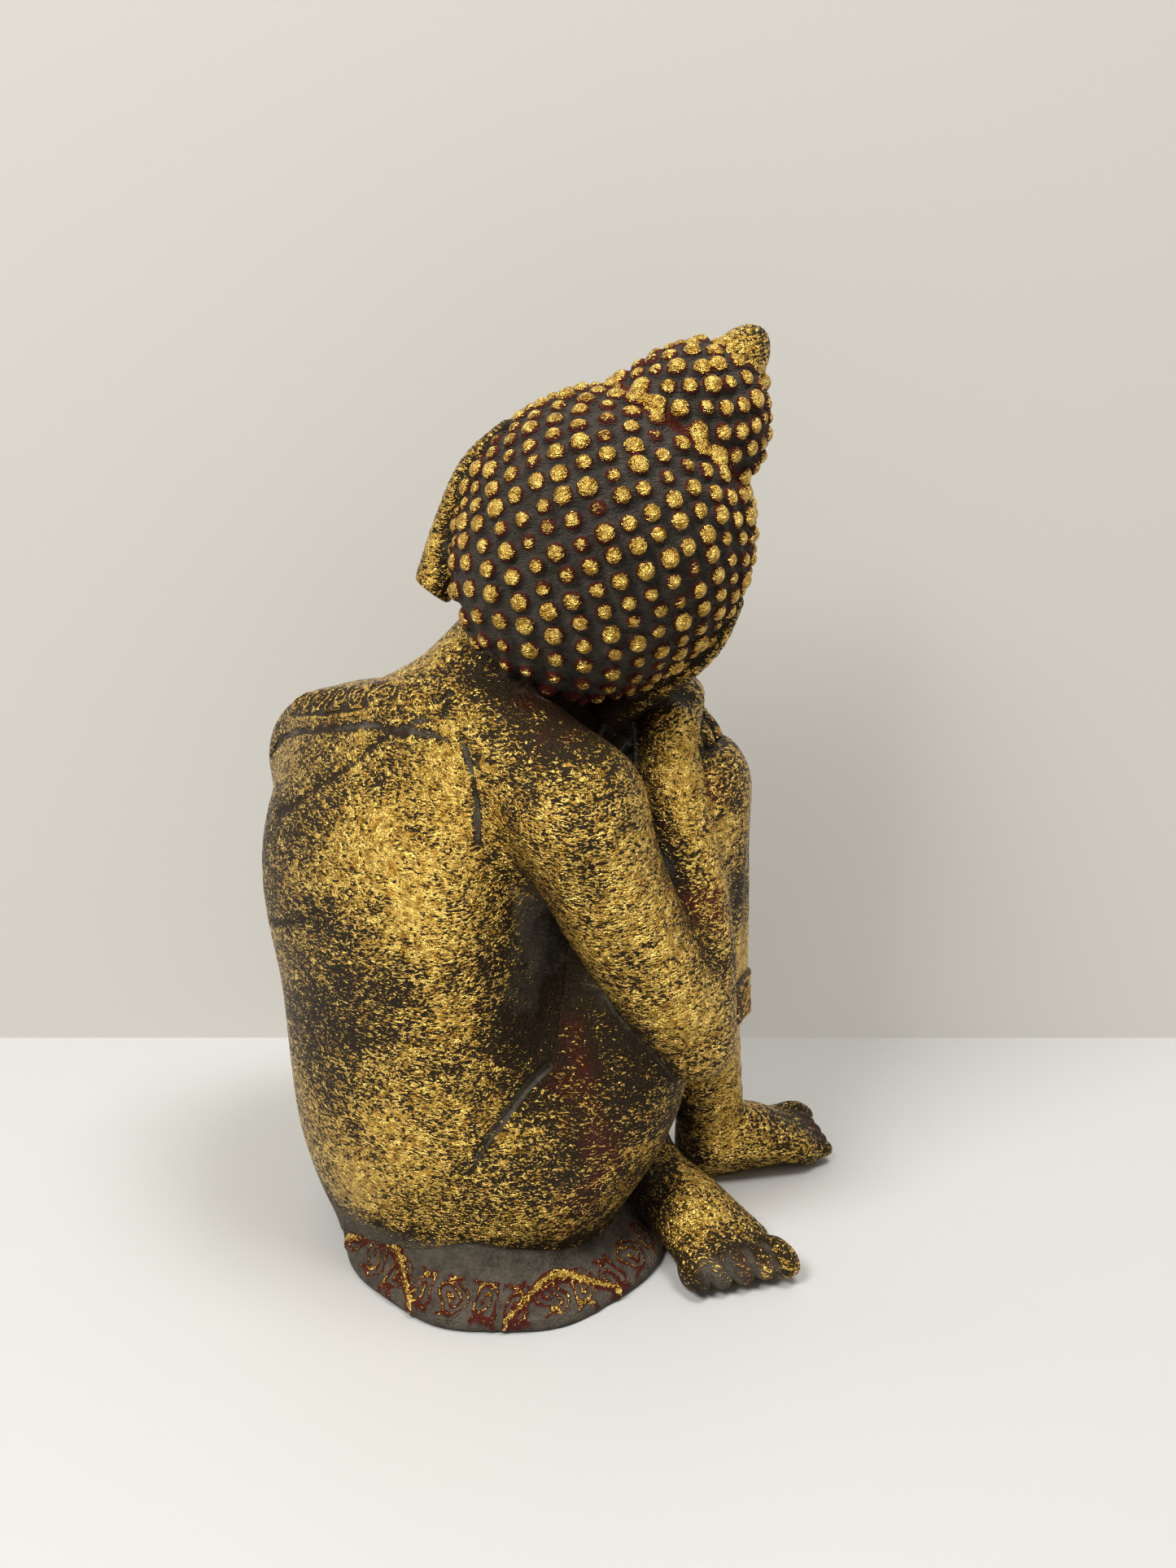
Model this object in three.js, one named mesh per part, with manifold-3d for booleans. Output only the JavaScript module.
// A table statue of a seated figure asleep with its head on its raised right knee.
// Millimetres, +Z up, the figure looks along -Y, and its right side is -X.
// It is cast in sections that are glued together, so nothing on it moves.
import * as THREE from "three";
import { mergeVertices } from "three/addons/utils/BufferGeometryUtils.js";
import Module from "manifold-3d";

// ---- Driving dimensions ----------------------------------------------------------------------
const GAP = 0.3; // glue line between two sections
const BASE_TOP = 9; // height of the flared seat base under the body
const CLOTH = 1.7; // thickness of the draped robe
const SMOOTH = 24; // sides of the trunk and of the hair
const FINE = 14; // sides of a limb
const COARSE = 8; // sides of a finger, a toe or an ear
const LONG = 10; // rings along the trunk
const RINGS = 6; // rings along a limb
const FEW = 3; // rings along a palm, a sole or the nose
const END_RINGS = 2; // rings on each round end
const FAR = 300; // longer than the statue in every direction

// The head: the middle of its skull, and how far it is turned, nodded and laid on its right cheek.
const HEAD = { middle: [3, -7, 157.2], turn: 52, nod: 10, roll: -37 };
const SKULL = { middle: [0, 0, 0], half: [27.5, 28.5, 28.5] };
const FACE = { middle: [0, -10.5, -13], half: [21.5, 20, 24] };
const NOSE = {
  path: [[0, -28.5, -4], [0, -31, -11], [0, -33, -17]],
  girth: [[2, 2], [2.4, 2.4], [3.6, 3]],
};
const HAIR = { middle: [0, 1.5, -0.5], half: [30.5, 32.3, 32] };
const NAPE = { middle: [0, 9, -13], half: [24, 21, 21] };
const HAIRLINE = { front: -12, frontHeight: 8, temple: -4, templeHeight: -10, nape: -35 };
const KNOT = { path: [[0, 3, 25], [0, 3, 33], [0, 3, 39]], girth: [[18.5, 18.5], [16, 16], [11, 11]] };
const FINIAL = {
  path: [[0, 3, 43.5], [0, 3, 47.5], [0, 3.4, 50.3]],
  girth: [[6.4, 6.4], [5.2, 5.2], [3.3, 3.3]],
};
const EAR = {
  path: [[28.5, 3, 5.5], [29.8, 2.5, -5], [27.5, 1.5, -17], [22.8, 0, -28]],
  girth: [[2.6, 5.5], [3.2, 6.5], [3.2, 5], [3.6, 4.6]],
};
const NECK_DOWEL = { from: [11, 12, 127], to: [6, 1, 147], radius: 3 };

// Limbs: the points along the middle, and half the width and half the depth at each of them.
// Widths lie along +X unless the limb says otherwise.
const TRUNK = {
  path: [[18, 23, 8], [20, 24.5, 28], [24, 28, 60], [26, 31, 86], [25, 30, 104]],
  girth: [[35, 30], [40, 34], [37.5, 31], [39, 29], [37, 19]],
};
const SHOULDERS = {
  path: [[57, 31, 104], [40, 31, 109], [18, 28, 114.5], [-3, 23, 116], [-19, 19, 109.5]],
  girth: [[12.5, 12.5], [14, 14], [14.5, 14], [14, 14], [11.5, 11.5]],
  across: [0, 1, 0],
};
const NECK = {
  path: [[17, 25, 114], [13, 17, 128], [8, 6, 140]],
  girth: [[18.5, 17], [13.5, 13], [13, 13]],
};
const THROAT = {
  path: [[20, 10, 98], [15, 2, 112], [9, -3, 125]],
  girth: [[17, 13], [14, 11], [11, 10]],
};
const UPPER_ARM_RIGHT = {
  path: [[-21, 19, 107.5], [-24, 12, 88], [-28, 1, 66], [-29, -6, 53]],
  girth: [[13.5, 13.5], [12, 12.5], [10.5, 11], [9, 9]],
};
const FOREARM_RIGHT = {
  path: [[-29, -6, 53], [-25, -8, 72], [-18, -10, 96], [-11, -12, 118]],
  girth: [[9, 9], [10.5, 9.5], [9, 8.5], [6.5, 6]],
};
const UPPER_ARM_LEFT = {
  path: [[59, 29, 103], [64, 12, 86], [63, -6, 70], [59, -16, 60]],
  girth: [[13, 13], [11.5, 12], [10.5, 11], [9.5, 9.5]],
};
const FOREARM_LEFT = {
  path: [[59, -16, 60], [46, -24, 78], [30, -27, 100], [12, -25, 115]],
  girth: [[9.5, 9.5], [10.5, 10.5], [9.5, 9.5], [7, 6]],
  across: [0, 1, 0],
};
const THIGH_RIGHT = {
  path: [[-6, 20, 25], [-10, 7, 40], [-9, -8, 70], [-7, -20.5, 101]],
  girth: [[24, 23], [21.5, 20], [16.5, 17], [13, 13.5]],
};
const SHIN_RIGHT = {
  path: [[-7, -20.5, 101], [-7.5, -22, 76], [-7, -26, 46], [-6, -33, 14]],
  girth: [[13, 13.5], [11.5, 13.5], [9.5, 11.5], [7.5, 8.5]],
};
const THIGH_LEFT = {
  path: [[36, 16, 24], [48, -2, 22], [57, -20, 19], [57, -32, 17]],
  girth: [[21, 20], [19, 19], [17, 17], [15, 15]],
};
const SHIN_LEFT = {
  path: [[57, -32, 17], [38, -28, 14], [16, -18, 12], [-8, -10, 10]],
  girth: [[15, 15], [13.5, 13.5], [11.5, 12], [8.5, 9]],
  across: [0, 1, 0],
};

// Feet. The toes are spread evenly from the little toe to the great toe.
const FOOT_RIGHT = {
  sole: {
    path: [[-6, -33, 7.5], [-9, -43, 7], [-12, -53, 4.5]],
    girth: [[8.5, 9], [10.5, 7.5], [12, 5]],
  },
  littleToe: [-20.5, -52, 3],
  greatToe: [-4.5, -57.5, 4.5],
  reach: [-1.2, -5.5, 0],
};
const FOOT_LEFT = {
  sole: {
    path: [[-10, -9, 8.5], [-25, -8, 8], [-40, -7, 5]],
    girth: [[8.5, 9], [9.5, 8], [12, 5]],
    across: [0, 1, 0],
  },
  littleToe: [-40, 4.5, 2.3],
  greatToe: [-46, -16, 3.8],
  reach: [-6, 0.6, 0],
};
const TOE = { thin: 2.2, thick: 3.6, count: 5, bow: 0.35 };

// Hands lie one on the other on top of the knee, under the cheek.
const HAND_RIGHT = {
  palm: { path: [[-12, -13, 118], [-4, -18, 122], [3, -22, 123]], girth: [[6.5, 4.5], [9, 4], [9, 3.5]] },
  across: [0.6, 0.8, 0],
  firstFinger: [5, -16, 123.5],
  lastFinger: [0, -28, 122],
  reach: [14, -7, -1],
};
const HAND_LEFT = {
  palm: { path: [[11, -26, 115], [4, -24, 117.5], [-3, -21, 117.5]], girth: [[6.5, 5], [8, 3.8], [8, 3.2]] },
  across: [0, 1, 0],
  firstFinger: [-4, -15, 117],
  lastFinger: [-4, -27, 116],
  reach: [-9, 1, -2.5],
};
const FINGER = { thin: 1.9, thick: 2.4, count: 4, bow: 0.2 };

// The robe: its lower edge and its hem band on the raised shin, and the sash over the left shoulder.
const DRAPE = { bottom: 44, hem: 11, back: -14, top: 112, flare: 1.2 };
const SASH = {
  path: [[64, 32.5, 112], [53, 38.5, 116], [37, 40, 120.5], [20, 37.5, 125], [4, 32.5, 127]],
  girth: [[2.4, 4.6], [2.4, 5.5], [2.4, 5.5], [2.4, 5.5], [2.4, 4.6]],
  across: [0, 0.7, 0.7],
};

// The seat base: its oval outline, how far the rim stands out past the block on it, and the waves
// around its edge.
const BASE = { middle: [7.5, 17.7], half: [46.5, 38.5], turn: -38, flare: 6, rim: 2.2 };
const WAVES = { count: 9, height: 1, points: 5 };

// ---- Joining and cutting ---------------------------------------------------------------------
const wasm = await Module();
wasm.setup();

function solidOf(geometry) {
  const bare = geometry.clone();
  bare.deleteAttribute("normal");
  bare.deleteAttribute("uv");
  const merged = mergeVertices(bare, 1e-4);
  return new wasm.Manifold(
    new wasm.Mesh({
      numProp: 3,
      vertProperties: new Float32Array(merged.attributes.position.array),
      triVerts: new Uint32Array(merged.index.array),
    }),
  );
}

function geometryOf(solid) {
  const mesh = solid.getMesh();
  const geometry = new THREE.BufferGeometry();
  geometry.setAttribute("position", new THREE.BufferAttribute(new Float32Array(mesh.vertProperties), 3));
  geometry.setIndex(new THREE.BufferAttribute(new Uint32Array(mesh.triVerts), 1));
  const faceted = geometry.toNonIndexed();
  faceted.computeVertexNormals();
  return faceted;
}

const join = (solids) => solids.reduce((sum, solid) => sum.add(solid));
const cut = (solid, tools) => tools.reduce((rest, tool) => rest.subtract(tool), solid);
const largest = (solid) => solid.decompose().reduce((a, b) => (a.volume() > b.volume() ? a : b));

// ---- Shapes ----------------------------------------------------------------------------------
const vector = (list) => new THREE.Vector3(...list);

function ellipsoid({ middle, half }, grow, sides = FINE) {
  const ball = new THREE.SphereGeometry(1, sides, sides / 2 + 3);
  ball.rotateX(Math.PI / 2);
  ball.scale(half[0] + grow, half[1] + grow, half[2] + grow);
  return ball.translate(...middle);
}

function box(low, high) {
  const size = high.map((value, i) => value - low[i]);
  return new THREE.BoxGeometry(...size).translate(...high.map((value, i) => (value + low[i]) / 2));
}

// A round-ended limb: a capsule whose rings are moved along a smooth path and scaled to its girth.
function limb({ path, girth, across = [1, 0, 0] }, grow, sides = FINE, rings = RINGS) {
  const middle = new THREE.CatmullRomCurve3(path.map(vector));
  const size = new THREE.CatmullRomCurve3(girth.map(([width, depth]) => new THREE.Vector3(width, depth, 0)));
  const shape = new THREE.CapsuleGeometry(1, 1, END_RINGS, sides, rings);
  const points = shape.attributes.position;
  const point = new THREE.Vector3();
  for (let i = 0; i < points.count; i++) {
    point.fromBufferAttribute(points, i);
    const along = THREE.MathUtils.clamp(point.y + 0.5, 0, 1);
    const beyond = point.y + 0.5 - along;
    const ahead = middle.getTangent(along);
    const wide = vector(across).addScaledVector(ahead, -vector(across).dot(ahead)).normalize();
    const deep = new THREE.Vector3().crossVectors(wide, ahead);
    const half = size.getPoint(along);
    const end = Math.min(half.x, half.y);
    const place = middle.getPoint(along).addScaledVector(ahead, beyond * (end + grow));
    place.addScaledVector(wide, point.x * (half.x + grow)).addScaledVector(deep, point.z * (half.y + grow));
    points.setXYZ(i, place.x, place.y, place.z);
  }
  return shape;
}

// Fingers or toes, side by side from first to last, each from its root along the same reach.
// The bow is how much further the middle ones reach.
function digits(first, last, reach, { thin, thick, count, bow }, grow) {
  return Array.from({ length: count }, (_, i) => {
    const share = i / (count - 1);
    const root = vector(first).lerp(vector(last), share);
    const tip = root.clone().addScaledVector(vector(reach), 1 + bow * Math.sin(share * Math.PI));
    const radius = THREE.MathUtils.lerp(thin, thick, share);
    const path = [root.toArray(), tip.toArray()];
    return limb({ path, girth: [[radius, radius], [radius, radius]], across: [0, 0, 1] }, grow, COARSE, 1);
  });
}

const limbs = (parts, grow) => join(parts.map((part) => solidOf(limb(part, grow))));

function foot(part, grow) {
  const toes = digits(part.littleToe, part.greatToe, part.reach, TOE, grow);
  return join([limb(part.sole, grow, FINE, FEW), ...toes].map(solidOf));
}

function hand(part, grow) {
  const palm = { ...part.palm, across: part.across };
  const fingers = digits(part.lastFinger, part.firstFinger, part.reach, FINGER, grow);
  return join([limb(palm, grow, COARSE, FEW), ...fingers].map(solidOf));
}

// The turned and tilted frame of the head, in which the skull's middle is the origin.
const headFrame = new THREE.Group();
headFrame.position.set(...HEAD.middle);
headFrame.rotation.set(
  THREE.MathUtils.degToRad(HEAD.nod),
  THREE.MathUtils.degToRad(HEAD.roll),
  THREE.MathUtils.degToRad(HEAD.turn),
  "ZXY",
);
headFrame.updateMatrix();
const onHead = (geometry) => solidOf(geometry.applyMatrix4(headFrame.matrix));

function mirrored({ path, girth }) {
  return { path: path.map(([x, y, z]) => [-x, y, z]), girth };
}

function dowelShape(grow) {
  const from = vector(NECK_DOWEL.from);
  const to = vector(NECK_DOWEL.to);
  const pin = new THREE.CylinderGeometry(
    NECK_DOWEL.radius + grow,
    NECK_DOWEL.radius + grow,
    from.distanceTo(to) + 2 * grow,
    COARSE,
  );
  const lean = to.clone().sub(from).normalize();
  pin.applyQuaternion(new THREE.Quaternion().setFromUnitVectors(new THREE.Vector3(0, 1, 0), lean));
  return pin.translate(...from.clone().lerp(to, 0.5).toArray());
}

// An oval with a wavy edge.
function seatOutline(spread) {
  const count = WAVES.count * WAVES.points;
  const ring = Array.from({ length: count }, (_, i) => {
    const angle = (i / count) * 2 * Math.PI;
    const out = spread + WAVES.height * Math.cos(WAVES.count * angle);
    return new THREE.Vector2((BASE.half[0] + out) * Math.cos(angle), (BASE.half[1] + out) * Math.sin(angle));
  });
  return new THREE.Shape(ring);
}

// A disc with a thin rim, and a narrower block on it that the body sits on.
function seatBase(grow) {
  const slab = (spread, depth) =>
    new THREE.ExtrudeGeometry(seatOutline(grow + spread), { depth: depth + grow, bevelEnabled: false });
  const turn = THREE.MathUtils.degToRad(BASE.turn);
  const slabs = [slab(0, BASE.rim), slab(-BASE.flare, BASE_TOP)];
  return join(slabs.map((shape) => solidOf(shape.rotateZ(turn).translate(...BASE.middle, 0))));
}

function trunk(grow) {
  return join([solidOf(limb(TRUNK, grow, SMOOTH, LONG)), limbs([SHOULDERS, NECK, THROAT], grow)]);
}

function headShape(grow) {
  const nose = limb(NOSE, grow, COARSE, FEW);
  return join([ellipsoid(SKULL, grow), ellipsoid(FACE, grow), nose].map(onHead));
}

// ---- The sections, each as a solid that can be grown to clear its neighbours -------------------
const sections = {
  seat_base: seatBase,
  torso: trunk,
  neck_dowel: (grow) => solidOf(dowelShape(grow)),
  head: headShape,
  hair_cap: (grow) => join([ellipsoid(HAIR, grow, SMOOTH), ellipsoid(NAPE, grow)].map(onHead)),
  ushnisha: (grow) => onHead(limb(KNOT, grow)),
  finial: (grow) => onHead(limb(FINIAL, grow)),
  ear_left: (grow) => onHead(limb(EAR, grow, COARSE)),
  ear_right: (grow) => onHead(limb(mirrored(EAR), grow, COARSE)),
  arm_right: (grow) => limbs([UPPER_ARM_RIGHT, FOREARM_RIGHT], grow),
  arm_left: (grow) => limbs([UPPER_ARM_LEFT, FOREARM_LEFT], grow),
  hand_right: (grow) => hand(HAND_RIGHT, grow),
  hand_left: (grow) => hand(HAND_LEFT, grow),
  leg_right: (grow) => limbs([THIGH_RIGHT, SHIN_RIGHT], grow),
  leg_left: (grow) => limbs([THIGH_LEFT, SHIN_LEFT], grow),
  foot_right: (grow) => foot(FOOT_RIGHT, grow),
  foot_left: (grow) => foot(FOOT_LEFT, grow),
};

const region = (low, high) => solidOf(box(low, high));
const underTable = region([-FAR, -FAR, -FAR], [FAR, FAR, 0]);
const onHeadBox = (low, high) => onHead(box(low, high));

// The skin of cloth on a section, kept inside a box. The section itself is cut out of it later.
const skin = (name, thickness, low, high) => sections[name](thickness).intersect(region(low, high));

const hemTop = DRAPE.bottom + DRAPE.hem;
const cloths = {
  drape_hem: () =>
    skin("leg_right", CLOTH + DRAPE.flare, [-FAR, -FAR, DRAPE.bottom], [FAR, DRAPE.back, hemTop]),
  knee_drape: () => skin("leg_right", CLOTH, [-FAR, -FAR, hemTop + GAP], [FAR, DRAPE.back, DRAPE.top]),
  shoulder_sash: () => solidOf(limb(SASH, 0, COARSE)),
};

// Where two sections meet, the one that comes first here keeps its full shape.
const ORDER = [
  "neck_dowel",
  "finial",
  "head",
  "ear_left",
  "ear_right",
  "hair_cap",
  "ushnisha",
  "hand_right",
  "hand_left",
  "foot_right",
  "foot_left",
  "seat_base",
  "arm_right",
  "arm_left",
  "torso",
  "leg_right",
  "leg_left",
  "drape_hem",
  "knee_drape",
  "shoulder_sash",
];

// What the hair cap leaves bare: the face below the hairline, and the nape.
const unhaired = [
  onHeadBox([-FAR, -FAR, -FAR], [FAR, HAIRLINE.front, HAIRLINE.frontHeight]),
  onHeadBox([-FAR, -FAR, -FAR], [FAR, HAIRLINE.temple, HAIRLINE.templeHeight]),
  onHeadBox([-FAR, -FAR, -FAR], [FAR, FAR, HAIRLINE.nape]),
];

function fitted(name) {
  const whole = name in cloths ? cloths[name]() : sections[name](0);
  const before = ORDER.slice(0, ORDER.indexOf(name)).filter((other) => other in sections);
  const tools = [underTable, ...before.map((other) => sections[other](GAP))];
  return largest(cut(whole, name === "hair_cap" ? [...tools, ...unhaired] : tools));
}

// ---- Finishes --------------------------------------------------------------------------------
function finish(color, roughness, metalness) {
  return new THREE.MeshStandardMaterial({ color, roughness, metalness });
}

const gilt = finish(0xb08d2e, 0.42, 0.75);
const rubbedGilt = finish(0x8a6a2c, 0.5, 0.6);
const curls = finish(0x6e5a3c, 0.6, 0.35);
const patina = finish(0x6d6456, 0.8, 0.1);
const bare = finish(0x9a948a, 0.7, 0);

// ---- The statue ------------------------------------------------------------------------------
const statue = new THREE.Group();
statue.name = "resting_buddha";
const figure = new THREE.Group();
statue.add(figure);
figure.add(headFrame);

function place(name, solid, material, frame = figure) {
  const geometry = geometryOf(solid);
  if (frame === headFrame) geometry.applyMatrix4(headFrame.matrix.clone().invert());
  const mesh = new THREE.Mesh(geometry, material);
  mesh.name = name;
  frame.add(mesh);
}

const finishes = {
  seat_base: patina,
  torso: gilt,
  neck_dowel: bare,
  head: gilt,
  hair_cap: curls,
  ushnisha: curls,
  finial: gilt,
  ear_left: gilt,
  ear_right: gilt,
  arm_right: gilt,
  arm_left: rubbedGilt,
  hand_right: gilt,
  hand_left: gilt,
  leg_right: rubbedGilt,
  leg_left: rubbedGilt,
  foot_right: gilt,
  foot_left: gilt,
  drape_hem: patina,
  knee_drape: rubbedGilt,
  shoulder_sash: rubbedGilt,
};
const onTheHead = ["head", "hair_cap", "ushnisha", "finial", "ear_left", "ear_right"];
for (const name of ORDER) {
  place(name, fitted(name), finishes[name], onTheHead.includes(name) ? headFrame : figure);
}

// The origin is on the table, under the middle of the statue's footprint.
const middle = new THREE.Box3().setFromObject(figure).getCenter(new THREE.Vector3());
figure.position.set(-middle.x, -middle.y, 0);

export default statue;
